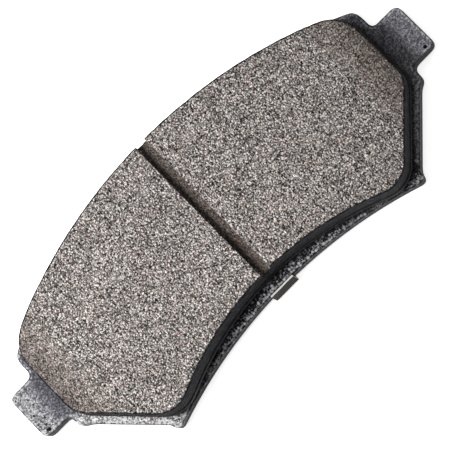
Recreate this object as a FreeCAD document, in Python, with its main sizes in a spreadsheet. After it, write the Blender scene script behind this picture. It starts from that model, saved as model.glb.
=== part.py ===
import FreeCAD, Part

import math
import os

import Sketcher
from FreeCAD import Placement, Rotation, Vector

# Disc brake pad, laid friction face up. Every piece is drawn about the ear line, the line
# through the middles of the two ears, and its body's placement puts it at its own height.
# X runs along the pad, Y away from the wheel's centre, Z out of the friction face.

SIZES = {
    # backing plate
    "plate_thickness": 5.0,
    "plate_half_length": 75.0,
    "ear_half_height": 7.6,
    "ear_corner": 1.5,
    "ear_root": 1.2,
    "shoulder_half_length": 66.0,
    "shoulder_corner": 3.0,
    "plate_outer_rise": 30.1,
    "plate_outer_radius": 146.8,
    "plate_inner_drop": 24.0,
    "plate_inner_radius": 142.4,
    "nub_drop": 12.1,
    "nub_root_half_length": 63.8,
    "nub_root_drop": 12.9,
    "nub_corner": 1.2,
    "foot_half_length": 47.6,
    "foot_top_drop": 29.4,
    "foot_corner": 1.2,
    "foot_root": 1.5,
    "dimple_half_spacing": 72.4,
    "dimple_drop": 6.3,
    "dimple_radius": 0.6,
    "dimple_depth": 0.4,
    "anchor_half_spacing_near": 19.0,
    "anchor_half_spacing_far": 47.0,
    "anchor_rise_near": 15.0,
    "anchor_rise_far": 2.0,
    "anchor_radius": 4.5,
    "pip_half_spacing": 30.0,
    "pip_rise": -4.0,
    "pip_radius": 3.0,
    "pip_length": 0.6,
    # friction block: cured adhesive film, underlayer and lining. The end corner drops by
    # this share of a layer's lip, so that the lip is equally wide along the slanted cut
    "film_thickness": 0.12,
    "underlayer_thickness": 2.2,
    "underlayer_lip": 0.3,
    "lip_share_at_end_corner": 0.4,
    "lining_thickness": 8.68,
    "lining_half_length": 63.3,
    "lining_outer_rise": 28.9,
    "lining_outer_radius": 145.6,
    "lining_inner_drop": 20.5,
    "lining_inner_radius": 93.5,
    "lining_cut_low_half_length": 42.9,
    "lining_cut_high_drop": 9.8,
    "lining_outer_corner": 10.0,
    "lining_end_corner": 8.0,
    "lining_inner_corner": 9.0,
    "groove_width": 3.4,
    "groove_depth": 3.0,
    "groove_centre": 0.5,
    "end_chamfer_length": 10.5,
    "end_chamfer_depth": 1.9,
    # noise shim on the plate's back
    "shim_adhesive_thickness": 0.12,
    "shim_rubber_thickness": 0.12,
    "shim_steel_thickness": 0.5,
    "shim_half_length": 58.5,
    "shim_margin": 1.6,
    "shim_end_drop": 15.5,
    "shim_corner": 3.0,
    "shim_cut_half_length": 46.0,
    "shim_hole_clearance": 0.3,
    "tab_width": 8.2,
    "tab_gap": 0.1,
    "tab_bend_radius": 0.45,
    "tab_height": 5.9,
    "tab_lean": 5.0,
    "tab_overlap": 3.0,
    "outer_tab_centre": 25.0,
    # place in the part's own frame
    "ear_line": 0.8,
}


SAME_PLACE = 0.01  # mm: points nearer than this are one corner
LEAST_CUT = 0.001  # mm3: a pocket that takes less has missed the body


class Length:
    """A number together with the sheet expression that drives it."""

    def __init__(self, value, text):
        self.value = float(value)
        self.text = text

    def _join(self, other, sign, result):
        other_text = other.text if isinstance(other, Length) else str(other)
        return Length(result, f"({self.text} {sign} {other_text})")

    def __add__(self, other):
        return self._join(other, "+", self.value + number(other))

    def __sub__(self, other):
        return self._join(other, "-", self.value - number(other))

    def __mul__(self, other):
        return self._join(other, "*", self.value * number(other))

    def __neg__(self):
        return Length(-self.value, f"(-1 * {self.text})")

    def root(self):
        return Length(math.sqrt(self.value), f"sqrt({self.text})")

    def sine(self):
        return Length(math.sin(math.radians(self.value)), f"sin({self.text})")

    def cosine(self):
        return Length(math.cos(math.radians(self.value)), f"cos({self.text})")


def number(item):
    return item.value if isinstance(item, Length) else item


ZERO = Length(0.0, "0")


def size(name):
    return Length(SIZES[name], f"sizes.{name}")


def write_sheet(doc):
    sheet = doc.addObject("Spreadsheet::Sheet", "sizes")
    for row, (alias, value) in enumerate(SIZES.items(), start=1):
        sheet.set(f"A{row}", alias)
        sheet.set(f"B{row}", str(value))
        sheet.setAlias(f"B{row}", alias)
    doc.recompute()


def bind(item, attribute, length):
    item.setExpression(attribute, length.text)


# ---------------------------------------------------------------- bodies, sketches, features

def new_body(doc, label, height=ZERO):
    """A body drawn about the ear line, placed at its height above the shim's back."""
    body = doc.addObject("PartDesign::Body", label)
    body.Label = label
    bind(body, "Placement.Base.y", size("ear_line"))
    bind(body, "Placement.Base.z", height)
    return body


def new_sketch(body, name, plane="XY_Plane", offset=None):
    """A sketch on one of the body's origin planes; offset moves it out along the normal."""
    sketch = body.newObject("Sketcher::SketchObject", name)
    base = [item for item in body.Origin.OriginFeatures if item.Role == plane][0]
    sketch.AttachmentSupport = [(base, "")]
    sketch.MapMode = "FlatFace"
    if offset is not None:
        bind(sketch, "AttachmentOffset.Base.z", offset)
    return sketch


def constrain(sketch, kind, places, length):
    """Add a driven dimension, bound to the sheet."""
    index = sketch.addConstraint(Sketcher.Constraint(kind, *places, length.value))
    sketch.setExpression(f"Constraints[{index}]", length.text)


def pin_point(sketch, edge, end, corner):
    constrain(sketch, "DistanceX", (-1, 1, edge, end), corner[0])
    constrain(sketch, "DistanceY", (-1, 1, edge, end), corner[1])


def arc_between(start, end, radius):
    """The short arc from start to end; a positive radius turns left, a negative one right."""
    middle = (start + end) * 0.5
    along = end - start
    reach = math.sqrt(radius ** 2 - (along.Length / 2) ** 2)
    left = Vector(-along.y, along.x, 0).normalize()
    centre = middle + left * math.copysign(reach, radius)
    first, last = (start, end) if radius > 0 else (end, start)
    angles = [math.atan2(p.y - centre.y, p.x - centre.x) for p in (first, last)]
    if angles[1] < angles[0]:
        angles[1] += 2 * math.pi
    circle = Part.Circle(centre, Vector(0, 0, 1), abs(radius))
    return Part.ArcOfCircle(circle, *angles)


def draw_loop(sketch, corners, arcs=None):
    """A closed loop through the corners. arcs gives the radius of each round edge by the
    number of the corner it starts from: positive turns left, negative turns right."""
    arcs = arcs or {}
    ends = []
    for index, corner in enumerate(corners):
        following = corners[(index + 1) % len(corners)]
        start = Vector(corner[0].value, corner[1].value, 0)
        end = Vector(following[0].value, following[1].value, 0)
        if index in arcs:
            radius = arcs[index].value
            edge = sketch.addGeometry(arc_between(start, end, radius), False)
            ends.append((edge, 1, 2) if radius > 0 else (edge, 2, 1))
        else:
            edge = sketch.addGeometry(Part.LineSegment(start, end), False)
            ends.append((edge, 1, 2))
    for index, (edge, head, tail) in enumerate(ends):
        next_edge, next_head, _ = ends[(index + 1) % len(ends)]
        sketch.addConstraint(Sketcher.Constraint("Coincident", edge, tail, next_edge, next_head))
        pin_point(sketch, edge, head, corners[index])
        if index in arcs:
            radius = arcs[index] if arcs[index].value > 0 else -arcs[index]
            constrain(sketch, "Radius", (edge,), radius)


def draw_circle(sketch, centre, radius):
    middle = Vector(centre[0].value, centre[1].value, 0)
    edge = sketch.addGeometry(Part.Circle(middle, Vector(0, 0, 1), radius.value), False)
    pin_point(sketch, edge, 3, centre)
    constrain(sketch, "Radius", (edge,), radius)


def pad(body, sketch, name, length, downwards=False, midplane=False):
    feature = body.newObject("PartDesign::Pad", name)
    feature.Profile = sketch
    bind(feature, "Length", length)
    feature.Reversed = downwards
    feature.Midplane = midplane
    body.Document.recompute()
    return feature


def pocket(body, sketch, name, depth=None, upwards=False, midplane=False):
    """Cut the sketch out of the body, down through everything unless a depth is given,
    and make sure that it has really removed material."""
    before = body.Shape.Volume
    feature = body.newObject("PartDesign::Pocket", name)
    feature.Profile = sketch
    feature.Reversed = upwards
    feature.Midplane = midplane
    if depth is None:
        feature.Type = "ThroughAll"
    else:
        bind(feature, "Length", depth)
    body.Document.recompute()
    if not body.Shape.Volume < before - LEAST_CUT:
        raise RuntimeError(f"{name} removed nothing")
    return feature


def round_corners(body, name, radius, corners):
    """Round the upright edges that stand at the given corners."""
    places = [Vector(corner[0].value, corner[1].value, 0) for corner in corners]
    base = body.Tip
    edges = []
    for index, edge in enumerate(base.Shape.Edges, start=1):
        ends = [vertex.Point for vertex in edge.Vertexes]
        if len(ends) != 2 or abs(ends[0].x - ends[1].x) + abs(ends[0].y - ends[1].y) > SAME_PLACE:
            continue
        foot = Vector(ends[0].x, ends[0].y, 0)
        if any(foot.distanceToPoint(place) < SAME_PLACE for place in places):
            edges.append(f"Edge{index}")
    if len(edges) < len(places):
        raise RuntimeError(f"{name} found {len(edges)} of {len(places)} corners")
    feature = body.newObject("PartDesign::Fillet", name)
    feature.Base = (base, edges)
    bind(feature, "Radius", radius)
    body.Document.recompute()
    return feature


def both_sides(corners):
    """The corners and their mirror images across the pad's middle."""
    return list(corners) + [(-x, y) for x, y in corners]


def mirrored_loop(right_side):
    """Corners up the right side, then down the left side: one loop, turning left."""
    return list(right_side) + [(-x, y) for x, y in reversed(right_side)]


def arc_height(apex, radius, x):
    """Y of an arc of the given radius at x, when its top is at apex above the ear line."""
    return apex - radius + (radius * radius - x * x).root()


# ------------------------------------------------------------------------- backing plate

def build_backing_plate(doc, height):
    body = new_body(doc, "backing_plate", height)
    foot_x = size("foot_half_length")
    shoulder_x = size("shoulder_half_length")
    end_x = size("plate_half_length")
    ear = size("ear_half_height")
    foot = (foot_x, arc_height(-size("plate_inner_drop"), size("plate_inner_radius"), foot_x))
    foot_top = (foot_x, -size("foot_top_drop"))
    nub_root = (size("nub_root_half_length"), -size("nub_root_drop"))
    nub = (shoulder_x, -size("nub_drop"))
    low_root = (shoulder_x, -ear)
    low_ear = (end_x, -ear)
    high_ear = (end_x, ear)
    high_root = (shoulder_x, ear)
    outer = size("plate_outer_rise"), size("plate_outer_radius")
    shoulder = (shoulder_x, arc_height(*outer, shoulder_x))
    right = [foot, foot_top, nub_root, nub, low_root, low_ear, high_ear, high_root, shoulder]
    outline = new_sketch(body, "plate_outline")
    arcs = {len(right) - 1: outer[1], 2 * len(right) - 1: -size("plate_inner_radius")}
    draw_loop(outline, mirrored_loop(right), arcs)
    pad(body, outline, "blank", size("plate_thickness"))

    anchors = new_sketch(body, "anchor_holes_outline", offset=size("plate_thickness"))
    for centre in anchor_centres():
        draw_circle(anchors, centre, size("anchor_radius"))
    pocket(body, anchors, "anchor_holes")

    pips = new_sketch(body, "pips_outline")
    recesses = new_sketch(body, "pip_recesses_outline", offset=size("plate_thickness"))
    for centre in pip_centres():
        draw_circle(pips, centre, size("pip_radius"))
        draw_circle(recesses, centre, size("pip_radius"))
    pad(body, pips, "shim_pips", size("pip_length"), downwards=True)
    pocket(body, recesses, "pip_recesses", size("pip_length"))

    dimples = new_sketch(body, "ear_dimples_outline", offset=size("plate_thickness"))
    for centre in both_sides([(size("dimple_half_spacing"), -size("dimple_drop"))]):
        draw_circle(dimples, centre, size("dimple_radius"))
    pocket(body, dimples, "ear_dimples", size("dimple_depth"))

    round_corners(body, "ear_corners", size("ear_corner"), both_sides([low_ear, high_ear]))
    round_corners(body, "ear_roots", size("ear_root"), both_sides([low_root, high_root]))
    round_corners(body, "shoulder_corners", size("shoulder_corner"), both_sides([shoulder]))
    round_corners(body, "nub_corners", size("nub_corner"), both_sides([nub, nub_root]))
    round_corners(body, "foot_roots", size("foot_root"), both_sides([foot_top]))
    round_corners(body, "foot_corners", size("foot_corner"), both_sides([foot]))
    return body


def anchor_centres():
    """Middles of the plate's through holes, which the underlayer flows into and fills."""
    near = (size("anchor_half_spacing_near"), size("anchor_rise_near"))
    far = (size("anchor_half_spacing_far"), size("anchor_rise_far"))
    return both_sides([near, far])


def pip_centres():
    """Middles of the half-sheared pips on the plate's back, which locate the shim."""
    return both_sides([(size("pip_half_spacing"), size("pip_rise"))])


# ------------------------------------------------------------------------- friction block

def friction_outline(lip):
    """Right-side corners and arcs of the friction block's outline, grown by a lip."""
    inner_radius = size("lining_inner_radius") - lip
    outer_radius = size("lining_outer_radius") + lip
    end_x = size("lining_half_length") + lip
    low_x = size("lining_cut_low_half_length")
    inner_apex = -(size("lining_inner_drop") + lip)
    low = (low_x, arc_height(inner_apex, inner_radius, low_x))
    end_lip = lip * size("lip_share_at_end_corner")
    mid = (end_x, -(size("lining_cut_high_drop") + end_lip))
    high = (end_x, arc_height(size("lining_outer_rise") + lip, outer_radius, end_x))
    return [low, mid, high], {2: outer_radius, 5: -inner_radius}


def pad_friction_layer(body, lip, thickness):
    """One layer of the block: the same outline with rounded corners."""
    right, arcs = friction_outline(lip)
    outline = new_sketch(body, f"{body.Label}_outline")
    draw_loop(outline, mirrored_loop(right), arcs)
    pad(body, outline, f"{body.Label}_layer", thickness)
    low, mid, high = right
    round_corners(body, f"{body.Label}_inner_corners",
                  size("lining_inner_corner") + lip, both_sides([low]))
    round_corners(body, f"{body.Label}_end_corners",
                  size("lining_end_corner") + lip, both_sides([mid]))
    round_corners(body, f"{body.Label}_outer_corners",
                  size("lining_outer_corner") + lip, both_sides([high]))


def build_bond_film(doc, height):
    """Cured adhesive between plate and underlayer, open where the anchors pass through."""
    body = new_body(doc, "bond_film", height)
    pad_friction_layer(body, ZERO, size("film_thickness"))
    openings = new_sketch(body, "film_openings_outline", offset=size("film_thickness"))
    for centre in anchor_centres():
        draw_circle(openings, centre, size("anchor_radius"))
    pocket(body, openings, "film_openings")
    return body


def build_underlayer(doc, height):
    """Underlayer with a slight lip all round and plugs that fill the plate's anchor holes."""
    body = new_body(doc, "underlayer", height)
    pad_friction_layer(body, size("underlayer_lip"), size("underlayer_thickness"))
    plugs = new_sketch(body, "anchor_plugs_outline")
    for centre in anchor_centres():
        draw_circle(plugs, centre, size("anchor_radius"))
    plug_length = size("plate_thickness") + size("film_thickness")
    pad(body, plugs, "anchor_plugs", plug_length, downwards=True)
    return body


def build_friction_lining(doc, height):
    """Lining with one groove across it and a shallow ground chamfer at each end."""
    body = new_body(doc, "friction_lining", height)
    top = size("lining_thickness")
    pad_friction_layer(body, ZERO, top)

    groove = new_sketch(body, "groove_outline", offset=top)
    centre = size("groove_centre")
    half_width = size("groove_width") * 0.5
    reach = size("plate_outer_rise")
    draw_loop(groove, [(centre - half_width, -reach), (centre + half_width, -reach),
                       (centre + half_width, reach), (centre - half_width, reach)])
    pocket(body, groove, "groove", size("groove_depth"))

    wedges = new_sketch(body, "end_chamfer_outline", plane="XZ_Plane")
    end = size("lining_half_length")
    start = end - size("end_chamfer_length")
    slope_end = top - size("end_chamfer_depth")
    draw_loop(wedges, [(start, top), (end, slope_end), (end, top)])
    draw_loop(wedges, [(-start, top), (-end, top), (-end, slope_end)])
    pocket(body, wedges, "end_chamfers", midplane=True)
    return body


# ------------------------------------------------------------------------- noise shim

def shim_outline():
    """Right-side corners of the shim, set in from the plate's edge."""
    margin = size("shim_margin")
    cut_x = size("shim_cut_half_length")
    end_x = size("shim_half_length")
    inner = -size("plate_inner_drop") + margin
    outer = size("plate_outer_rise") - margin, size("plate_outer_radius") - margin
    low = (cut_x, arc_height(inner, size("plate_inner_radius") + margin, cut_x))
    mid = (end_x, -size("shim_end_drop"))
    high = (end_x, arc_height(*outer, end_x))
    return [low, mid, high], {2: outer[1], 5: -(size("plate_inner_radius") + margin)}


def build_shim_sheet(doc, label, height, depth, thickness, has_tabs):
    """One layer of the shim. height is its lower face and depth is how far its upper face
    lies below the shim's plate side."""
    body = new_body(doc, label, height)
    right, arcs = shim_outline()
    outline = new_sketch(body, f"{label}_outline")
    draw_loop(outline, mirrored_loop(right), arcs)
    pad(body, outline, f"{label}_layer", thickness)
    round_corners(body, f"{label}_corners", size("shim_corner"), both_sides(right))
    holes = new_sketch(body, f"{label}_holes_outline", offset=thickness)
    for centre in pip_centres():
        draw_circle(holes, centre, size("pip_radius") + size("shim_hole_clearance"))
    pocket(body, holes, f"{label}_holes")
    if has_tabs:
        add_tab(body, "inner_tab", depth, thickness, ZERO, -size("plate_inner_drop"), -1)
        tab_x = size("outer_tab_centre")
        radius = size("plate_outer_radius")
        edge = arc_height(size("plate_outer_rise"), radius, tab_x)
        lean = math.degrees(math.asin(tab_x.value / radius.value))
        add_tab(body, "outer_tab", depth, thickness, tab_x, edge, 1, lean)
        mirror_tab(body, "outer_tab")
    return body


def tab_profile(depth, thickness):
    """Section of a bent tab, with the plate's edge at 0 and the plate towards minus: a
    flat foot on the sheet, a bend, and a leg that leans back against the plate's edge."""
    lean = size("tab_lean")
    bend = size("tab_bend_radius")
    near = bend + depth
    far = near + thickness
    out_x, out_y = lean.cosine(), lean.sine()
    leg = size("tab_height")
    tip_x = size("tab_gap") - bend
    centre_y = bend + depth + thickness
    heel = -size("tab_overlap")
    centre_x = tip_x + leg * out_y
    return [
        (heel, centre_y - far), (centre_x, centre_y - far),
        (centre_x + far * out_x, centre_y + far * out_y),
        (centre_x + far * out_x - leg * out_y, centre_y + far * out_y + leg * out_x),
        (centre_x + near * out_x - leg * out_y, centre_y + near * out_y + leg * out_x),
        (centre_x + near * out_x, centre_y + near * out_y),
        (centre_x, centre_y - near), (heel, centre_y - near),
    ], {1: far, 5: -near}


def add_tab(body, name, depth, thickness, centre_x, edge_y, facing, turn=0.0):
    """A tab bent up past the plate's edge at centre_x; facing is -1 for the inner edge."""
    corners, arcs = tab_profile(depth, thickness)
    profile = new_sketch(body, f"{name}_profile", plane="YZ_Plane")
    if facing < 0:
        corners = [(-x, y) for x, y in corners]
        arcs = {index: -radius for index, radius in arcs.items()}
    draw_loop(profile, corners, arcs)
    profile.AttachmentOffset = Placement(Vector(edge_y.value, 0, centre_x.value),
                                         Rotation(Vector(0, 1, 0), -turn))
    bind(profile, "AttachmentOffset.Base.x", edge_y)
    bind(profile, "AttachmentOffset.Base.z", centre_x)
    pad(body, profile, name, size("tab_width"), midplane=True)


def mirror_tab(body, name):
    """The same tab on the other side of the pad's middle."""
    tab = body.Tip
    mirror = body.newObject("PartDesign::Mirrored", f"{name}_mirrored")
    mirror.Originals = [tab]
    plane = [item for item in body.Origin.OriginFeatures if item.Role == "YZ_Plane"][0]
    mirror.MirrorPlane = (plane, [""])
    body.Tip = mirror
    body.Document.recompute()


# ------------------------------------------------------------------------- assembly

def build_pad(doc):
    """All pieces from the shim's back, which lies at height 0, up to the friction face."""
    rubber = size("shim_rubber_thickness")
    steel = size("shim_steel_thickness")
    glue = size("shim_adhesive_thickness")
    shim = rubber * 2 + steel + glue
    plate_front = shim + size("plate_thickness")
    film = size("film_thickness")
    return [
        build_shim_sheet(doc, "shim_outer_rubber", ZERO, rubber + steel, rubber, True),
        build_shim_sheet(doc, "shim_core", rubber, rubber, steel, True),
        build_shim_sheet(doc, "shim_inner_rubber", rubber + steel, ZERO, rubber, True),
        build_shim_sheet(doc, "shim_adhesive", rubber * 2 + steel, ZERO, glue, False),
        build_backing_plate(doc, shim),
        build_bond_film(doc, plate_front),
        build_underlayer(doc, plate_front + film),
        build_friction_lining(doc, plate_front + film + size("underlayer_thickness")),
    ]


def check(doc, bodies):
    for item in doc.Objects:
        if "Invalid" in item.State or "Error" in item.State:
            raise RuntimeError(f"{item.Name} failed: {item.State}")
    for body in bodies:
        shape = body.Shape
        if shape.isNull() or not shape.isValid() or len(shape.Solids) != 1:
            raise RuntimeError(f"{body.Label} is not one valid solid")


def main():
    doc = FreeCAD.newDocument("brake_pad")
    write_sheet(doc)
    bodies = build_pad(doc)
    doc.recompute()
    check(doc, bodies)
    os.makedirs("parts", exist_ok=True)
    box = FreeCAD.BoundBox()
    for body in bodies:
        body.Shape.exportStep(f"parts/{body.Label}.step")
        box.add(body.Shape.BoundBox)
        print(f"{body.Label:18s} volume {body.Shape.Volume:10.2f} mm3")
    print(f"box {box.XLength:.3f} x {box.YLength:.3f} x {box.ZLength:.3f} mm,",
          f"Y {box.YMin:.3f} to {box.YMax:.3f}")


main()
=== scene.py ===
"""A disc brake pad lying on a pale floor with its friction face up: detailed skins and procedural finishes
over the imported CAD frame. The script's own measures are in millimetres; MM turns them into metres."""

import math

import bmesh
import bpy
import numpy as np
from mathutils import Matrix, Vector, noise
from mathutils.geometry import delaunay_2d_cdt
from mathutils.kdtree import KDTree


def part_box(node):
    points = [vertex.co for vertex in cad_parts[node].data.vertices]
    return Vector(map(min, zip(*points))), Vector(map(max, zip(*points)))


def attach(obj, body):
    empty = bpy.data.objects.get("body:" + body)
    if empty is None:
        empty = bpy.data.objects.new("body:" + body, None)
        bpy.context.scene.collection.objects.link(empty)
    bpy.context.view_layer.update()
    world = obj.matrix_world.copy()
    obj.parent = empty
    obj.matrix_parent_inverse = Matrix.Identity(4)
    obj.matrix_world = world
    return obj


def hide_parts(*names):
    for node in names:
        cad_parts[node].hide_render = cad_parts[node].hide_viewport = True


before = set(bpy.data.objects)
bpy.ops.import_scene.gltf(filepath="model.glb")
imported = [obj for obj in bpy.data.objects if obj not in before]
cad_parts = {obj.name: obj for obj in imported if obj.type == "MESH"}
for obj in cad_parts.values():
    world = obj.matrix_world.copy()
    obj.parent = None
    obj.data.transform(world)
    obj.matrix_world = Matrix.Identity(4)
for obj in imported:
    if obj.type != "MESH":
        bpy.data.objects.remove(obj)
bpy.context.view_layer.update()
MM = 0.001

# The groove, the end chamfers, the ear dimples, the shim pips and the anchor holes, as the CAD part has them.
GROOVE_MIDDLE, GROOVE_HALF, GROOVE_DEPTH = 0.5, 1.7, 3.0
CHAMFER_LENGTH, CHAMFER_DROP = 10.5, 1.9
EAR_LINE = 0.8
DIMPLE_X, DIMPLE_Y, DIMPLE_RADIUS, DIMPLE_DEPTH = 72.4, EAR_LINE - 6.3, 0.6, 0.4
PIP_X, PIP_Y, PIP_RADIUS, PIP_HEIGHT = 30.0, EAR_LINE - 4.0, 3.0, 0.6
ANCHOR_SPAN = 8.0  # the anchor holes are wider than this, and the pips' hollows narrower


# ---------------------------------------------------------------- outlines taken from the CAD nodes

UPRIGHT = 0.999  # least part of a flat face's normal that lies along Z
SAME_LEVEL = 0.004
WELD = 0.001
FEWEST_POINTS = 16
FINE_STEP, FINE_SMOOTHING = 0.1, 12
CHUNK = 64  # points compared at a time


def levels(node):
    """Lowest and highest corner of a CAD node's box."""
    low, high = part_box(node)
    return np.array(low) / MM, np.array(high) / MM


def node_loops(node, z):
    """The edge loops of a CAD node's flat face at height z, widest first, as arrays of (x, y)."""
    bm = bmesh.new()
    bm.from_mesh(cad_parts[node].data)
    bmesh.ops.remove_doubles(bm, verts=bm.verts, dist=WELD * MM)
    flat = {face for face in bm.faces
            if abs(face.normal.z) > UPRIGHT and abs(face.calc_center_median().z / MM - z) < SAME_LEVEL}
    following, place = {}, {}
    for face in flat:
        for corner in face.loops:
            if corner.link_loop_radial_next.face not in flat:
                following[corner.vert.index] = corner.link_loop_next.vert.index
                place[corner.vert.index] = (corner.vert.co.x / MM, corner.vert.co.y / MM)
    loops = []
    while following:
        at = next(iter(following))
        points = []
        while at in following:
            points.append(place[at])
            at = following.pop(at)
        loops.append(np.array(points))
    bm.free()
    return sorted(loops, key=lambda points: -np.ptp(points[:, 0]))


def signed_area(points):
    """The loop's area, positive when the loop runs anticlockwise."""
    x, y = points.T
    return 0.5 * np.sum(x * np.roll(y, -1) - np.roll(x, -1) * y)


def respace(points, step, cuts=(), smoothing=4):
    """The closed loop anticlockwise at even steps, its facets eased into curves.

    cuts: x positions at which the loop gets a point wherever it crosses them.
    """
    if signed_area(points) < 0:
        points = points[::-1]
    closed = np.vstack([points, points[:1]])
    along = np.concatenate([[0], np.cumsum(np.linalg.norm(np.diff(closed, axis=0), axis=1))])
    count = max(FEWEST_POINTS, int(round(along[-1] / step)))
    at = np.linspace(0, along[-1], count, endpoint=False)
    even = np.column_stack([np.interp(at, along, closed[:, i]) for i in (0, 1)])
    for _ in range(smoothing):
        even = 0.25 * np.roll(even, 1, axis=0) + 0.5 * even + 0.25 * np.roll(even, -1, axis=0)
    even = np.clip(even, points.min(0), points.max(0))
    result = []
    for a, b in zip(even, np.roll(even, -1, axis=0)):
        result.append(a)
        crossed = [(x - a[0]) / (b[0] - a[0]) for x in cuts if (a[0] - x) * (b[0] - x) < 0]
        result.extend(a + t * (b - a) for t in sorted(crossed))
    return np.array(result)


def inward(points):
    """Unit vectors into an anticlockwise loop at each of its points."""
    before, after = points - np.roll(points, 1, axis=0), np.roll(points, -1, axis=0) - points
    before /= np.linalg.norm(before, axis=1, keepdims=True)
    after /= np.linalg.norm(after, axis=1, keepdims=True)
    along = before + after
    normal = np.column_stack([-along[:, 1], along[:, 0]])
    return normal / np.linalg.norm(normal, axis=1, keepdims=True)


def inside(points, loop):
    """Which of the points lie in the loop."""
    x, y = points.T
    result = np.zeros(len(points), bool)
    for (x0, y0), (x1, y1) in zip(loop, np.roll(loop, -1, axis=0)):
        if y0 != y1:
            result ^= ((y0 > y) != (y1 > y)) & (x < x0 + (y - y0) * (x1 - x0) / (y1 - y0))
    return result


def clear_of(points, others, distance):
    """The points that lie further than the distance from all the others."""
    keep = np.ones(len(points), bool)
    for start in range(0, len(others), CHUNK):
        gap = points[:, None, :] - others[None, start:start + CHUNK, :]
        keep &= (gap ** 2).sum(-1).min(1) > distance ** 2
    return points[keep]


def edge_distance(points, outline):
    """How far each point lies from an outline, seen from above."""
    loop = respace(outline, FINE_STEP, (), FINE_SMOOTHING)
    tree = KDTree(len(loop))
    for index, (x, y) in enumerate(loop.tolist()):
        tree.insert((x, y, 0), index)
    tree.balance()
    return np.array([tree.find((x, y, 0))[2] for x, y in points[:, :2].tolist()])


# ---------------------------------------------------------------- heights

SEED_SHIFTS = (17.13, 5.71, 9.37)  # how far each next seed moves along the noise


def at_height(points, height):
    """The (x, y) points with a height, given once for all or one for each."""
    return np.column_stack([points, np.broadcast_to(height, len(points))])


def fractal(points, size, seed, octaves=3):
    """Smooth noise about zero at each (x, y, z), with features of the given size."""
    shift = Vector([seed * amount for amount in SEED_SHIFTS])
    return np.array([noise.fractal(Vector(p) / size + shift, 1.0, 2.0, octaves) for p in points.tolist()])


def bowl(points, x, y, radius, depth):
    """A round hollow of the given depth at (x, y), as heights to add."""
    gap = np.hypot(points[:, 0] - x, points[:, 1] - y) / radius
    return -depth * np.clip(1 - gap ** 3, 0, 1)


def level_relief(points):
    """A face without relief."""
    return np.zeros(len(points))


def ramp(values, low, high):
    """A smooth step from 0 at low to 1 at high."""
    t = np.clip((values - low) / (high - low), 0, 1)
    return t * t * (3 - 2 * t)


# ---------------------------------------------------------------- slabs with rounded, worn edges

RIM_TURNS = [math.radians(a) for a in (0, 30, 60, 90)]
RIM_WEAR = (0.2, 0.5, 0.8, 1.0)  # share of the wear at each turn of the top rim
CHIP_SIZE, CHIP_THRESHOLD, CHIP_DROP = 2.2, 0.1, 0.5
WALL_GRAIN, WALL_BIAS, WALL_SEED = 1.2, 0.4, 3

BOTTOM_PITCH = 1.6  # in steps, as the top face's is 1
JITTER = 0.3  # in pitches
RIM_GAP = 0.6  # in steps
LINE_GAP, LIP_GAP = 0.05, 0.19  # how far a face's points keep from the cut lines, and from the groove's lips
ON_CUT = 0.012  # a rim point this near to a cut's x lies on it
SPOT_REACH = 1.6  # in a spot's radii, as its turns below
SPOT_TURNS = [(r, t) for r in np.arange(0.1, SPOT_REACH, 0.12) for t in np.arange(0, 2 * math.pi, 0.3)]

INSIDE_EDGES = 1  # delaunay_2d_cdt then keeps only the triangles within its edges
MERGE = 1e-7


def rim_profile(bottom_radius, top_radius, rows):
    """(inset, share of the way up, rise, share of the wear) from the bottom face's edge to the top face's."""
    low = [(bottom_radius * (1 - math.sin(a)), 0.0, bottom_radius * (1 - math.cos(a)), 0.0)
           for a in RIM_TURNS]
    side = [(0.0, i / rows, 0.0, 0.0) for i in range(1, rows)]
    high = [(top_radius * (1 - math.cos(a)), 1.0, top_radius * math.sin(a), wear)
            for a, wear in zip(RIM_TURNS, RIM_WEAR)]
    return low + side + high


def slab(name, outer, holes, bottom, top, *, radii, step, seed, rows, wall_relief, top_relief,
         bottom_relief=level_relief, wear=0.0, cuts=(), spots=()):
    """A closed mesh between two height fields over an outline with holes, with rounded rims and rough walls.

    radii: bottom and top rim radius. rows: rows of faces between a wall's rims.
    wall_relief: how far the walls' roughness reaches in. wear: how far chips reach in from the top rim.
    top_relief, bottom_relief: functions of points (n, 2) that give heights to add.
    cuts: x positions of straight lines across the top face.
    spots: (x, y, radius) of round features that need finer points.
    """
    loops = [respace(outer, step, cuts)] + [respace(hole, step) for hole in holes]
    verts, faces, rings = [], [], []
    for index, loop in enumerate(loops):
        sign = -1 if index else 1
        into = inward(loop) * sign
        chips = wear * np.clip(fractal(at_height(loop, top), CHIP_SIZE, seed) - CHIP_THRESHOLD, 0, 1)
        stack = []
        for inset, share, rise, weight in rim_profile(*radii, rows):
            straight = (bottom + radii[0]) + share * (top - radii[1] - bottom - radii[0])
            level = bottom + rise if share == 0 else straight + rise
            grain = np.clip(WALL_BIAS + fractal(at_height(loop, level), WALL_GRAIN, seed + WALL_SEED), 0, 1)
            reach = inset + weight * chips + wall_relief * grain * (share > 0)
            place = loop + into * reach[:, None]
            lift = share * top_relief(place) + (1 - share) * bottom_relief(place)
            stack.append(range(len(verts), len(verts) + len(loop)))
            verts.extend(at_height(place, level + lift - weight * chips * CHIP_DROP).tolist())
        for lower, upper in zip(stack, stack[1:]):
            for i in range(len(lower)):
                j = (i + 1) % len(lower)
                faces.append((lower[i], lower[j], upper[j], upper[i])[::sign])
        rings.append((stack[0], stack[-1]))
    low_rings, high_rings = zip(*rings)
    cap(verts, faces, low_rings, bottom_relief, bottom, step, seed, (), spots, faces_up=False)
    cap(verts, faces, high_rings, top_relief, top, step, seed, cuts, spots, faces_up=True)
    mesh = bpy.data.meshes.new(name)
    mesh.from_pydata((np.array(verts) * MM).tolist(), [], faces)
    mesh.validate()
    mesh.polygons.foreach_set("use_smooth", [True] * len(mesh.polygons))
    piece = bpy.data.objects.new(name, mesh)
    bpy.context.scene.collection.objects.link(piece)
    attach(piece, "root")
    return piece


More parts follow.
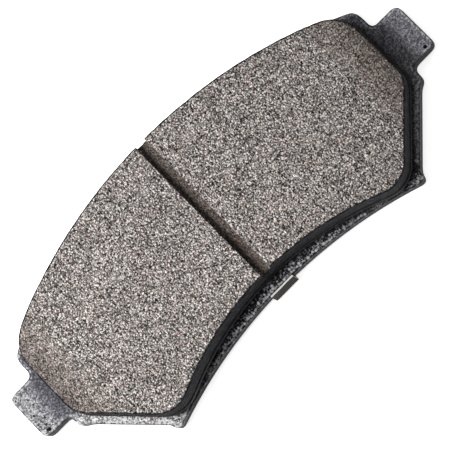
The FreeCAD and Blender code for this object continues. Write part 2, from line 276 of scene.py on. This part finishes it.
def cap(verts, faces, rings, relief, level, step, seed, cuts, spots, faces_up):
    """Fills a slab's face: triangles over jittered points, through the cut lines, up to the rim rings."""
    loops = [np.array([verts[i][:2] for i in ring]) for ring in rings]
    points, ids, edges, lines = [], [], [], []
    for ring, loop in zip(rings, loops):
        first = len(points)
        points.extend(loop.tolist())
        ids.extend(ring)
        edges.extend((first + i, first + (i + 1) % len(loop)) for i in range(len(loop)))
    for x in cuts:
        near = sorted((p for p in loops[0].tolist() if abs(p[0] - x) < ON_CUT), key=lambda p: p[1])
        low, high = near[0], near[-1]
        count = max(2, int((high[1] - low[1]) / step))
        line = [[x, float(y)] for y in np.linspace(low[1], high[1], count + 1)[1:-1]]
        chain = [points.index(low), *range(len(points), len(points) + len(line)), points.index(high)]
        edges.extend(zip(chain, chain[1:]))
        points.extend(line)
        ids.extend([None] * len(line))
        lines.extend(line)
    pitch = step if faces_up else step * BOTTOM_PITCH
    filling = face_points(loops, pitch, step, seed + faces_up, cuts, lines, spots)
    points.extend(filling.tolist())
    ids.extend([None] * len(filling))
    points = [Vector(p) for p in points]
    out, _, triangles, origin, _, _ = delaunay_2d_cdt(points, edges, [], INSIDE_EDGES, MERGE)
    flat = np.array([tuple(p) for p in out])
    triangles = np.array(triangles)
    middle = flat[triangles].mean(1)
    keep = np.ones(len(triangles), bool)
    for hole in loops[1:]:
        keep &= ~inside(middle, hole)
    where = []
    for place, sources in zip(at_height(flat, level + relief(flat)).tolist(), origin):
        known = next((ids[source] for source in sources if ids[source] is not None), None)
        if known is None:
            known = len(verts)
            verts.append(place)
        where.append(known)
    for a, b, c in triangles[keep]:
        faces.append(tuple(where[i] for i in ((a, b, c) if faces_up else (a, c, b))))


def face_points(loops, pitch, step, seed, cuts, lines, spots):
    """Jittered points in the first loop and outside the others, clear of rims and lines, finer on spots."""
    low, high = loops[0].min(0), loops[0].max(0)
    columns, rows = np.arange(low[0], high[0], pitch), np.arange(low[1], high[1], pitch)
    grid = np.stack(np.meshgrid(columns, rows), -1)
    rng = np.random.RandomState(seed)
    grid = grid.reshape(-1, 2) + rng.uniform(-JITTER, JITTER, (grid.size // 2, 2)) * pitch
    for x, y, radius in spots:
        grid = clear_of(grid, np.array([[x, y]]), radius * SPOT_REACH)
        spiral = [(x + radius * r * math.cos(t + r), y + radius * r * math.sin(t + r))
                  for r, t in SPOT_TURNS]
        grid = np.vstack([grid, spiral])
    grid = grid[inside(grid, loops[0])]
    for hole in loops[1:]:
        grid = grid[~inside(grid, hole)]
    grid = clear_of(grid, np.vstack(loops), step * RIM_GAP)
    if lines:
        grid = clear_of(grid, np.array(lines), LINE_GAP)
        by_a_lip = np.abs(np.abs(grid[:, 0] - GROOVE_MIDDLE) - GROOVE_HALF) < LIP_GAP
        grid = grid[~((grid[:, 0] > min(cuts)) & (grid[:, 0] < max(cuts)) & by_a_lip)]
    return grid


# ---------------------------------------------------------------- the friction lining

LINING_LOW, LINING_HIGH = levels("friction_lining")
FLAT_HALF = LINING_HIGH[0] - CHAMFER_LENGTH

# The groove's wall and its rounded lips: (distance from the groove's middle, depth).
GROOVE_LIPS = [(1.85, 0.0), (1.76, 0.03), (1.70, 0.15), (1.695, 1.0), (1.69, 1.9), (1.68, 2.72), (1.60, 2.92),
               (1.45, GROOVE_DEPTH)]
GROOVE_CUTS = sorted([GROOVE_MIDDLE + side * x for x, _ in GROOVE_LIPS for side in (-1, 1)])

PIT_COUNT = 420
PIT_SHAPE, PIT_SCALE, PIT_LEAST = 2.0, 0.16, 0.3
PIT_DEPTHS = (0.05, 0.16)
pit_rng = np.random.RandomState(41)
PITS = np.c_[pit_rng.uniform(LINING_LOW[0], LINING_HIGH[0], PIT_COUNT),
             pit_rng.uniform(LINING_LOW[1], LINING_HIGH[1], PIT_COUNT),
             pit_rng.gamma(PIT_SHAPE, PIT_SCALE, PIT_COUNT) + PIT_LEAST,
             pit_rng.uniform(*PIT_DEPTHS, PIT_COUNT)]

FACE_GRAIN, BED_GRAIN = 0.02, 0.08  # depth of the grain on the friction face, and more of it in the groove
GRAIN_SIZE, GRAIN_STRETCH, GRAIN_SEED = 0.7, (1, 0.35), 5


def groove_depth(points):
    """How deep the groove is at each point."""
    away = np.abs(points[:, 0] - GROOVE_MIDDLE)
    across, depth = zip(*GROOVE_LIPS[::-1])
    return np.interp(away, across, depth)


def lining_top(points):
    """Heights of the friction face about its flat: end chamfers, groove, pits and a fine grain."""
    past = np.clip(np.abs(points[:, 0]) - FLAT_HALF, 0, None)
    height = -CHAMFER_DROP * past / CHAMFER_LENGTH
    groove = groove_depth(points)
    height = np.minimum(height, -groove)
    pits = np.zeros(len(points))
    for x, y, radius, depth in PITS:
        close = np.abs(points[:, 0] - x) < radius
        pits[close] = np.minimum(pits[close], bowl(points[close], x, y, radius, depth))
    grain = np.clip(0.5 + fractal(at_height(points * GRAIN_STRETCH, groove), GRAIN_SIZE, GRAIN_SEED), 0, 1)
    bed = np.clip(groove / GROOVE_DEPTH, 0, 1)
    return height + pits * (1 - bed) - FACE_GRAIN * grain - BED_GRAIN * bed * grain


lining_outline = node_loops("friction_lining", LINING_LOW[2])[0]
lining = slab("lining_block", lining_outline, [], LINING_LOW[2], LINING_HIGH[2], radii=(0.05, 0.4), step=0.5,
              seed=2, rows=14, top_relief=lining_top, wear=0.35, wall_relief=0.09, cuts=GROOVE_CUTS)
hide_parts("friction_lining")


# ---------------------------------------------------------------- the backing plate

PLATE_LOW, PLATE_HIGH = levels("backing_plate")
PLATE_BOTTOM = PLATE_LOW[2] + PIP_HEIGHT
DIMPLES = [(side * DIMPLE_X, DIMPLE_Y) for side in (-1, 1)]
PIPS = [(side * PIP_X, PIP_Y) for side in (-1, 1)]
PEEL_DEPTH, PEEL_SIZE, PEEL_SEED = 0.03, 1.6, 11


def plate_top(points):
    """Heights of the plate's upper face: the coat's waviness and the ear dimples."""
    height = -PEEL_DEPTH * np.clip(0.5 + fractal(at_height(points, 0), PEEL_SIZE, PEEL_SEED), 0, 1)
    for x, y in DIMPLES:
        height += bowl(points, x, y, DIMPLE_RADIUS, DIMPLE_DEPTH)
    return height


def plate_bottom(points):
    """Heights of the plate's lower face: the pips, which stand down from it."""
    height = np.zeros(len(points))
    for x, y in PIPS:
        height += bowl(points, x, y, PIP_RADIUS, PIP_HEIGHT)
    return height


plate_loops = node_loops("backing_plate", PLATE_HIGH[2])
plate_holes = [loop for loop in plate_loops[1:] if np.ptp(loop[:, 0]) > ANCHOR_SPAN]
spots = [(x, y, DIMPLE_RADIUS) for x, y in DIMPLES] + [(x, y, PIP_RADIUS) for x, y in PIPS]
plate = slab("plate_blank", plate_loops[0], plate_holes, PLATE_BOTTOM, PLATE_HIGH[2], radii=(0.3, 0.35),
             step=0.6, seed=9, rows=7, top_relief=plate_top, bottom_relief=plate_bottom, wall_relief=0.06,
             spots=spots)
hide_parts("backing_plate")


# ---------------------------------------------------------------- masks that the finishes read

# From where to where each change comes in, in x or y away from the middle; TOP_FALL is below the plate's top.
CHAMFER_BLEND = 0.2
TOP_FALL = (-0.22, -0.04)
EAR = (62.5, 65.5)
CALM_RIGHT = (47.0, 53.0)
# Painted highlights: the left ear's tip and the left foot, where a pale coat stands in for the light's sheen.
TIP_HIGHLIGHT = (66.5, 72.5)
FOOT_HIGHLIGHT_X, FOOT_HIGHLIGHT_Y = (40.0, 48.0), (6.8, 9.0)
# Painted shade: where the left ear's coat begins to be darkened.
LEFT_EAR_SHADE = (62.5, 66.0)


def add_masks(piece, **masks):
    """Numbers per vertex that the piece's material reads by name."""
    for name, values in masks.items():
        layer = piece.data.attributes.new(name, "FLOAT", "POINT")
        layer.data.foreach_set("value", np.asarray(values, np.float32))


def vertex_places(piece):
    """The piece's vertices as an array of (x, y, z)."""
    co = np.zeros(len(piece.data.vertices) * 3, np.float32)
    piece.data.vertices.foreach_get("co", co)
    return co.reshape(-1, 3) / MM


places = vertex_places(lining)
outward = np.abs(places[:, 0])
add_masks(lining,
          from_edge=edge_distance(places, lining_outline),
          chamfer=ramp(outward, FLAT_HALF - CHAMFER_BLEND, FLAT_HALF + CHAMFER_BLEND),
          slope=ramp(outward, FLAT_HALF, LINING_HIGH[0]),
          across_groove=places[:, 0] - GROOVE_MIDDLE)

places = vertex_places(plate)
rightward, upward, height = places.T
add_masks(plate,
          top=ramp(height - PLATE_HIGH[2], *TOP_FALL),
          from_block=edge_distance(places, lining_outline),
          from_edge=edge_distance(places, plate_loops[0]),
          calm=np.maximum(ramp(-rightward, *EAR), ramp(rightward, *CALM_RIGHT)),
          ear=ramp(np.abs(rightward), *EAR),
          # Painted highlights on the left ear's tip and the left foot.
          worn_tip=ramp(-rightward, *TIP_HIGHLIGHT),
          worn_foot=ramp(-rightward, *FOOT_HIGHLIGHT_X) * ramp(-upward, *FOOT_HIGHLIGHT_Y),
          # Painted shade over the left ear.
          grimy_ear=ramp(-rightward, *LEFT_EAR_SHADE),
          dimple=sum(-bowl(places, x, y, DIMPLE_RADIUS, 1) for x, y in DIMPLES),
          height=(height - PLATE_BOTTOM) / (PLATE_HIGH[2] - PLATE_BOTTOM))


# ---------------------------------------------------------------- material helper

class Finish:
    """A node material under construction; node sockets and plain numbers mix freely in its methods."""

    def __init__(self, name):
        self.material = bpy.data.materials.new(name)
        self.material.use_nodes = True
        self.tree = self.material.node_tree
        self.shader = self.tree.nodes["Principled BSDF"]
        self.place = self.tree.nodes.new("ShaderNodeTexCoord").outputs["Object"]

    def feed(self, socket, value):
        """Links a socket into another, or sets it to a number, a vector or a colour."""
        if isinstance(value, bpy.types.NodeSocket):
            self.tree.links.new(value, socket)
        elif hasattr(socket.default_value, "__len__") and not hasattr(value, "__len__"):
            socket.default_value = (value, value, value)[:len(socket.default_value)]
        elif hasattr(value, "__len__") and len(value) == 3 and len(socket.default_value) == 4:
            socket.default_value = (*value, 1.0)
        else:
            socket.default_value = value

    def math(self, operation, a, b=0.0, c=0.0):
        node = self.tree.nodes.new("ShaderNodeMath")
        node.operation = operation
        for socket, value in zip(node.inputs, (a, b, c)):
            self.feed(socket, value)
        return node.outputs[0]

    def product(self, a, b):
        return self.math("MULTIPLY", a, b)

    def larger(self, a, b):
        return self.math("MAXIMUM", a, b)

    def swing(self, value, middle, gain, base):
        """The base, plus the value's distance from its middle times the gain."""
        return self.math("MULTIPLY_ADD", self.math("SUBTRACT", value, middle), gain, base)

    def stretched(self, scale):
        """The place on the piece, scaled along each axis."""
        node = self.tree.nodes.new("ShaderNodeVectorMath")
        node.operation = "MULTIPLY"
        self.feed(node.inputs[0], self.place)
        self.feed(node.inputs[1], scale)
        return node.outputs[0]

    def noise(self, size, detail=2.0, stretch=(1, 1, 1), roughness=0.5):
        """Noise from 0 to 1 about 0.5, with features of the given size."""
        node = self.tree.nodes.new("ShaderNodeTexNoise")
        self.feed(node.inputs["Vector"], self.stretched(stretch))
        node.inputs["Scale"].default_value = 1 / (size * MM)
        node.inputs["Detail"].default_value = detail
        node.inputs["Roughness"].default_value = roughness
        return node.outputs["Fac"]

    def cells(self, size, stretch=(1, 1, 1)):
        """(distance from a cell's middle, two random numbers of the cell) for cells of the given size."""
        node = self.tree.nodes.new("ShaderNodeTexVoronoi")
        self.feed(node.inputs["Vector"], self.stretched(stretch))
        node.inputs["Scale"].default_value = 1 / (size * MM)
        split = self.tree.nodes.new("ShaderNodeSeparateColor")
        self.feed(split.inputs[0], node.outputs["Color"])
        return node.outputs["Distance"], split.outputs[0], split.outputs[1]

    def mask(self, name):
        node = self.tree.nodes.new("ShaderNodeAttribute")
        node.attribute_name = name
        return node.outputs["Fac"]

    def span(self, value, low, high, to_low=0.0, to_high=1.0, smooth=True):
        """The value's place between low and high, as a number between to_low and to_high."""
        node = self.tree.nodes.new("ShaderNodeMapRange")
        node.interpolation_type = "SMOOTHSTEP" if smooth else "LINEAR"
        for socket, number in zip(node.inputs, (value, low, high, to_low, to_high)):
            self.feed(socket, number)
        return node.outputs[0]

    def share(self, mask, to_low, to_high):
        """A number from to_low where the mask is 0 to to_high where it is 1."""
        return self.span(mask, 0, 1, to_low, to_high)

    def with_noise(self, value, to_low, to_high):
        """A number from to_low to to_high over a noise's usual values."""
        return self.span(value, *NOISE_RANGE, to_low, to_high)

    def blend(self, share, a, b, how="MIX"):
        node = self.tree.nodes.new("ShaderNodeMix")
        node.data_type = "RGBA"
        node.blend_type = how
        for socket, value in zip((node.inputs[0], node.inputs[6], node.inputs[7]), (share, a, b)):
            self.feed(socket, value)
        return node.outputs[2]

    def tinted(self, colour, tint):
        """The colour multiplied by the tint."""
        return self.blend(1.0, colour, tint, "MULTIPLY")

    def colours(self, value, stops):
        """A colour from a number through (position, colour) stops."""
        node = self.tree.nodes.new("ShaderNodeValToRGB")
        elements = node.color_ramp.elements
        while len(elements) < len(stops):
            elements.new(0.5)
        for element, (position, colour) in zip(elements, stops):
            element.position = position
            element.color = (*colour, 1.0)
        self.feed(node.inputs[0], value)
        return node.outputs[0]

    def relief(self, height, depth):
        """Bump from a height of 0 to 1, of the given depth."""
        node = self.tree.nodes.new("ShaderNodeBump")
        node.inputs["Distance"].default_value = depth * MM
        self.feed(node.inputs["Height"], height)
        self.tree.links.new(node.outputs[0], self.shader.inputs["Normal"])

    def set(self, **inputs):
        """Sets the shader's own sockets, and gives the material."""
        for name, value in inputs.items():
            self.feed(self.shader.inputs[name.replace("_", " ")], value)
        return self.material


def paint(piece, material):
    piece.data.materials.clear()
    piece.data.materials.append(material)


# ---------------------------------------------------------------- finishes

NOISE_RANGE = (0.3, 0.7)

# Tones as (tone, colour) stops, single colours, and tints that multiply a colour.
COMPOUND_TONES = ((0.14, (0.010, 0.009, 0.009)), (0.32, (0.100, 0.092, 0.087)), (0.55, (0.29, 0.266, 0.252)),
                  (0.90, (0.76, 0.712, 0.680)))
PAINT_TONES = ((0.34, (0.005, 0.005, 0.006)), (0.52, (0.013, 0.013, 0.015)), (0.74, (0.045, 0.044, 0.048)))
# The groove floor's tint holds both its own darker tone and painted shade.
WARM_TINT, CHAMFER_TINT, BED_TONE_AND_SHADE = (1.0, 0.72, 0.60), (0.74, 0.70, 0.675), (0.43, 0.395, 0.37)
COPPER, RUST = (0.30, 0.12, 0.07), (0.10, 0.055, 0.04)
# The first colour darkens the chamfers towards their outer ends; the second is a painted shadow in the groove.
END_DARK, BED_SHADOW = (0.025, 0.023, 0.022), (0.010, 0.009, 0.009)

EVEN_COAT = ((0.22, (0.050, 0.049, 0.057)), (0.45, (0.120, 0.117, 0.132)), (0.62, (0.200, 0.196, 0.215)),
             (0.85, (0.38, 0.375, 0.39)))
# The margins' coat: near black for painted shade, with pale stops for painted glints.
SHADED_MARGIN_COAT = ((0.34, (0.003, 0.003, 0.004)), (0.52, (0.020, 0.019, 0.022)), (0.68, (0.110, 0.107, 0.118)),
              (0.85, (0.46, 0.45, 0.47)))
# A pale coat for painted highlights on the left ear's tip and the left foot.
HIGHLIGHT_COAT = ((0.22, (0.040, 0.039, 0.041)), (0.42, (0.22, 0.217, 0.220)), (0.60, (0.52, 0.515, 0.510)),
              (0.85, (0.84, 0.83, 0.82)))
# Tints of painted shade: beside the block on the ears, over the whole left ear, and on the plate's sides.
SHADED_TINT, LEFT_EAR_SHADE_TINT, SIDE_SHADE_TINT = (0.45, 0.45, 0.49), (0.70, 0.70, 0.73), (0.45, 0.45, 0.46)
# Painted glints on the margins, and a painted highlight just inside the plate's edges.
PAINTED_GLINT, EDGE_HIGHLIGHT = (0.62, 0.61, 0.62), (0.42, 0.42, 0.43)
# Black for the coat's pits and for painted shade on the plate's edges; near black for painted shade beside the
# block and in the dimples.
PIT_AND_SHADE_BLACK, RECESS_SHADE = (0.006, 0.006, 0.007), (0.010, 0.010, 0.012)

UNDERLAYER_TONES = (0.008, 0.008, 0.009), (0.050, 0.047, 0.047)
UNDERLAYER_FLECK = (0.16, 0.15, 0.14)
RESIN_TONES = (0.05, 0.035, 0.02), (0.11, 0.08, 0.05)
GLUE_TONES = (0.06, 0.06, 0.06), (0.12, 0.12, 0.12)
RUBBER_TONES = (0.008, 0.006, 0.006), (0.020, 0.016, 0.014)
RUBBER_STREAK = (0.07, 0.064, 0.060)
STEEL_TONES = (0.24, 0.236, 0.232), (0.42, 0.413, 0.406)
FLOOR_TONES = (0.93, 0.93, 0.93), (0.95, 0.95, 0.95)


def noise_stops(tones):
    """A dark and a light tone as the stops over a noise's usual values."""
    return tuple(zip(NOISE_RANGE, tones))


def lining_finish():
    """Ground friction compound: a grey-brown matrix with pale mineral grains, black pits and copper chips;
    browner and calmer on the end chamfers, dark in the groove from its own tone, painted shade and a painted
    shadow by its left wall, and black paint on the sides."""
    f = Finish("friction_compound")
    chamfer, slope, from_edge = (f.mask(name) for name in ("chamfer", "slope", "from_edge"))
    across = f.mask("across_groove")
    off_groove = f.math("SUBTRACT", f.math("ABSOLUTE", across), GROOVE_HALF)
    crumbs = f.math("SUBTRACT", f.noise(0.7), 0.5)
    groove = f.span(f.math("MULTIPLY_ADD", crumbs, 1.6, off_groove), 0.12, -0.12)
    calm = f.larger(f.product(chamfer, 0.5), groove)

    far, pick, tint = f.cells(0.54, (1.2, 0.95, 1))
    _, fine, _ = f.cells(0.28, (1.1, 0.9, 1))
    lines = f.noise(0.30, 0.0, (1, 0.12, 1))
    patches = f.noise(5.0)
    grain = f.product(f.span(far, 0.10, 0.62, 1.0, 0.0, smooth=False), f.share(pick, 0.55, 1.15))
    shade = f.math("ADD", f.product(grain, 0.54), f.product(fine, 0.54))
    shade = f.swing(lines, 0.5, 0.30, shade)
    shade = f.swing(patches, 0.5, 0.10, shade)
    shade = f.swing(shade, 0.48, f.share(calm, 1.0, 0.6), 0.48)
    colour = f.colours(shade, COMPOUND_TONES)

    warm = f.product(f.span(tint, 0.80, 0.90), 0.35)
    colour = f.blend(warm, colour, f.tinted(colour, WARM_TINT))
    chip_far, chip_pick, _ = f.cells(1.1)
    copper = f.product(f.span(chip_pick, 0.972, 0.978), f.span(chip_far, 0.30, 0.18))
    colour = f.blend(f.product(copper, 0.7), colour, COPPER)
    edge = f.product(chamfer, f.span(slope, 0.0, 0.5, 0.35, 1.0))
    colour = f.blend(edge, colour, f.tinted(colour, CHAMFER_TINT))
    # Darker towards the chamfers' outer ends.
    end_dark = f.product(f.span(slope, 0.6, 1.0), 0.35)
    colour = f.blend(end_dark, colour, END_DARK)

    # The groove's floor: its own darker, browner tone, and painted shade for the shade between the groove's
    # walls.
    bed = f.tinted(colour, BED_TONE_AND_SHADE)
    bed = f.blend(f.span(across, -0.2, -1.7, 0.0, 0.7), bed, BED_SHADOW)
    rust = f.span(f.noise(1.4, 3.0, (1, 0.3, 1)), 0.58, 0.72)
    bed = f.blend(f.product(rust, 0.3), bed, RUST)
    colour = f.blend(groove, colour, bed)

    bare = f.span(f.math("MULTIPLY_ADD", crumbs, 0.8, from_edge), 0.38, 0.60)
    layers = f.noise(0.8, 3.0, (0.35, 0.35, 1.2), 0.6)
    painted = f.colours(f.math("MULTIPLY_ADD", crumbs, 0.6, layers), PAINT_TONES)
    colour = f.blend(bare, painted, colour)
    f.relief(f.math("ADD", f.product(shade, 0.5), f.product(lines, 0.3)), 0.10)
    return f.set(Base_Color=colour, Roughness=f.with_noise(shade, 0.92, 0.72), Specular_IOR_Level=0.06)


def coat_finish():
    """Powder-coated steel: calm bluish grey on the ears and towards the right end; on the narrow margins
    painted shade, near black, with coarse painted glints. Painted highlights brighten the left ear's tip and
    the plate's left foot, and painted shade darkens the left ear. The edges and lower walls are painted black
    as shade, the sides are darkened as shade, and a painted highlight runs just inside the edges."""
    f = Finish("plate_coat")
    calm, ear, tip, foot = (f.mask(name) for name in ("calm", "ear", "worn_tip", "worn_foot"))
    top, height, dimple = (f.mask(name) for name in ("top", "height", "dimple"))
    from_block, from_edge = f.mask("from_block"), f.mask("from_edge")
    _, pick, _ = f.cells(0.42)
    coarse_far, coarse, _ = f.cells(0.95)
    grit = f.noise(0.35, 1.0, roughness=0.6)
    patches = f.noise(5.0)
    tone = f.math("ADD", f.product(pick, 0.5), f.product(grit, 0.9))
    tone = f.swing(patches, 0.5, 0.2, f.math("SUBTRACT", tone, 0.2))
    even, shaded_margin, highlit = (f.colours(tone, stops) for stops in (EVEN_COAT, SHADED_MARGIN_COAT, HIGHLIGHT_COAT))
    # Painted shade on the margins: they take the near-black coat, and the ears and the right end take the even
    # one.
    colour = f.blend(calm, shaded_margin, even)

    # Painted glints: coarse pale specks for the light's sparkle on the coat, few where the coat is calm.
    painted_glint = f.product(f.span(coarse, 0.58, 0.64), f.span(coarse_far, 0.55, 0.25))
    colour = f.blend(f.product(painted_glint, f.share(calm, 0.9, 0.06)), colour, PAINTED_GLINT)
    shaded = f.product(ear, f.span(from_block, 7.0, 0.5, 0.0, 0.85, smooth=False))
    colour = f.blend(shaded, colour, f.tinted(colour, SHADED_TINT))
    # Painted shade: the left ear's coat darkened all over.
    colour = f.blend(f.mask("grimy_ear"), colour, f.tinted(colour, LEFT_EAR_SHADE_TINT))
    # Painted highlight: a pale coat on the left ear's tip and the left foot, for the light's sheen on the coat.
    colour = f.blend(f.larger(f.product(tip, 0.38), f.product(foot, 0.95)), colour, highlit)
    pock = f.product(f.span(coarse, 0.22, 0.16), f.span(coarse_far, 0.5, 0.3))
    colour = f.blend(f.product(pock, f.share(tip, 0.35, 0.95)), colour, PIT_AND_SHADE_BLACK)

    # Painted highlight: a pale line just inside the plate's edges, where the rounded edge catches the light.
    edge_highlight = f.product(f.span(from_edge, 0.30, 0.50), f.span(from_edge, 1.1, 0.70))
    colour = f.blend(f.product(edge_highlight, f.span(pick, 0.45, 0.60, 0.1, 0.75)), colour, EDGE_HIGHLIGHT)
    # Painted shade: black on the plate's top edges, its lower walls and the ears' walls.
    rim = f.product(f.span(from_edge, 0.45, 0.20), f.span(height, 0.82, 0.95, 0.0, 0.5))
    rim = f.larger(rim, f.span(height, 0.70, 0.50))
    rim = f.larger(rim, f.product(ear, f.span(height, 0.99, 0.92)))
    colour = f.blend(f.product(rim, f.with_noise(grit, 0.95, 0.75)), colour, PIT_AND_SHADE_BLACK)
    # Painted shade: near black on the plate beside the block, and in the ear dimples.
    close = f.product(f.span(from_block, 1.5, 0.5), f.with_noise(grit, 0.9, 0.6))
    close = f.product(close, f.share(foot, 1.0, 0.25))
    colour = f.blend(f.larger(close, f.span(dimple, 0.15, 0.6)), colour, RECESS_SHADE)
    # Painted shade: the plate's sides darkened.
    colour = f.blend(f.span(top, 0.2, 0.7), f.tinted(colour, SIDE_SHADE_TINT), colour)
    f.relief(f.math("ADD", f.product(tone, 0.6), f.product(f.noise(1.3), 0.4)), 0.16)
    return f.set(Base_Color=colour, Roughness=f.with_noise(grit, 0.50, 0.68), Specular_IOR_Level=0.05)


def underlayer_finish():
    """Coarse black compound with a few pale flecks."""
    f = Finish("underlayer_compound")
    grain = f.noise(0.5, 3.0, roughness=0.6)
    far, pick, _ = f.cells(0.6)
    pale = f.product(f.span(pick, 0.85, 0.9), f.span(far, 0.4, 0.2))
    colour = f.colours(grain, noise_stops(UNDERLAYER_TONES))
    colour = f.blend(f.product(pale, 0.5), colour, UNDERLAYER_FLECK)
    f.relief(grain, 0.12)
    return f.set(Base_Color=colour, Roughness=f.with_noise(grain, 0.75, 0.95), Specular_IOR_Level=0.12)


def film_finish(name, tones):
    """A thin cured film with slow clouds between two tones."""
    f = Finish(name)
    flow = f.noise(0.8, 3.0)
    f.relief(flow, 0.03)
    return f.set(Base_Color=f.colours(flow, noise_stops(tones)), Roughness=f.with_noise(flow, 0.45, 0.7),
                 Specular_IOR_Level=0.4)


def rubber_finish():
    """Thin nitrile coat: charcoal, matt, finely pebbled, with faint rubbed streaks."""
    f = Finish("shim_coat")
    pebble = f.noise(0.35)
    cloud = f.noise(14.0, 3.0)
    streak = f.noise(1.2, 3.0, (0.06, 1, 1), 0.6)
    tone = f.math("ADD", f.product(pebble, 0.35), f.product(cloud, 0.65))
    rubbed = f.product(f.span(streak, 0.56, 0.75), 0.5)
    colour = f.blend(rubbed, f.colours(tone, noise_stops(RUBBER_TONES)), RUBBER_STREAK)
    f.relief(pebble, 0.04)
    return f.set(Base_Color=colour, Roughness=f.with_noise(tone, 0.65, 0.85), Specular_IOR_Level=0.12)


def steel_finish():
    """Cold-rolled sheet steel, brushed along the pad."""
    f = Finish("shim_sheet")
    brushed = f.noise(0.5, 4.0, (0.05, 1, 1), 0.6)
    tone = f.math("ADD", f.product(brushed, 0.6), f.product(f.noise(5.0), 0.4))
    f.relief(brushed, 0.02)
    return f.set(Base_Color=f.colours(tone, noise_stops(STEEL_TONES)), Metallic=0.9,
                 Roughness=f.with_noise(brushed, 0.38, 0.6))


rubber = rubber_finish()
paint(lining, lining_finish())
paint(plate, coat_finish())
paint(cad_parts["underlayer"], underlayer_finish())
paint(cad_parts["bond_film"], film_finish("bond_resin", RESIN_TONES))
paint(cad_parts["shim_adhesive"], film_finish("shim_glue", GLUE_TONES))
paint(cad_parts["shim_inner_rubber"], rubber)
paint(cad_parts["shim_outer_rubber"], rubber)
paint(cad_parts["shim_core"], steel_finish())


# ---------------------------------------------------------------- floor, light and camera

FLOOR_HALF, FLOOR_DROP = 1200.0, 0.2
FLOOR_SQUARES = 8
FLOOR_GLOW = 0.75
WORLD_STRENGTH = 0.16

# Name, place, aim and size across in metres, and power in watts.
LIGHTS = (("key", (-0.165, 0.05, 0.29), (-0.02, 0.0, 0.0), 0.17, 1.63),
          ("fill", (0.06, 0.06, 0.45), (0.0, 0.0, 0.0), 0.30, 0.42))

# The camera's tilt about the pad's length, its turn about the width, its roll, and its distance from AIM.
TILT, TURN, ROLL = (math.radians(a) for a in (12.0, 5.0, 45.55))
CAMERA_DISTANCE, CAMERA_LENS, SENSOR_WIDTH = 889.0, 262.4, 36.0
CLIP_START, CLIP_END = 50.0, 10000.0
AIM = Vector((0.0, EAR_LINE, 0.86))
AIM_SHIFT = (0.100, -0.314)


def make_floor():
    bm = bmesh.new()
    bmesh.ops.create_grid(bm, x_segments=FLOOR_SQUARES, y_segments=FLOOR_SQUARES, size=FLOOR_HALF * MM)
    bmesh.ops.translate(bm, vec=(0, 0, -FLOOR_DROP * MM), verts=bm.verts)
    mesh = bpy.data.meshes.new("floor")
    bm.to_mesh(mesh)
    bm.free()
    floor = bpy.data.objects.new("floor", mesh)
    bpy.context.scene.collection.objects.link(floor)
    f = Finish("pale_floor")
    paint(floor, f.set(Base_Color=f.colours(f.noise(30.0), noise_stops(FLOOR_TONES)), Roughness=0.9,
                       Specular_IOR_Level=0.1, Emission_Color=(1.0, 1.0, 1.0), Emission_Strength=FLOOR_GLOW))


def make_light(name, place, aim, size, power):
    data = bpy.data.lights.new(name, "AREA")
    data.shape = "DISK"
    data.size = size
    data.energy = power
    light = bpy.data.objects.new(name, data)
    light.location = place
    light.rotation_euler = (Vector(aim) - Vector(place)).to_track_quat("-Z", "Y").to_euler()
    bpy.context.scene.collection.objects.link(light)


def make_world():
    world = bpy.data.worlds.new("studio")
    world.use_nodes = True
    background = world.node_tree.nodes["Background"]
    background.inputs["Color"].default_value = (1.0, 1.0, 1.0, 1.0)
    background.inputs["Strength"].default_value = WORLD_STRENGTH
    bpy.context.scene.world = world


def make_camera():
    along = Vector((math.cos(TURN), math.sin(TILT) * math.sin(TURN), -math.cos(TILT) * math.sin(TURN)))
    across = Vector((0.0, math.cos(TILT), math.sin(TILT)))
    back = along.cross(across)
    right = math.cos(ROLL) * along - math.sin(ROLL) * across
    up = math.sin(ROLL) * along + math.cos(ROLL) * across
    data = bpy.data.cameras.new("camera")
    data.sensor_width = SENSOR_WIDTH
    data.lens = CAMERA_LENS
    data.clip_start, data.clip_end = CLIP_START * MM, CLIP_END * MM
    camera = bpy.data.objects.new("camera", data)
    place = AIM + back * CAMERA_DISTANCE + along * AIM_SHIFT[0] + across * AIM_SHIFT[1]
    camera.matrix_world = Matrix.Translation(place * MM) @ Matrix((right, up, back)).transposed().to_4x4()
    bpy.context.scene.collection.objects.link(camera)
    bpy.context.scene.camera = camera


make_floor()
make_world()
for settings in LIGHTS:
    make_light(*settings)
make_camera()
bpy.context.scene.view_settings.view_transform = "Standard"
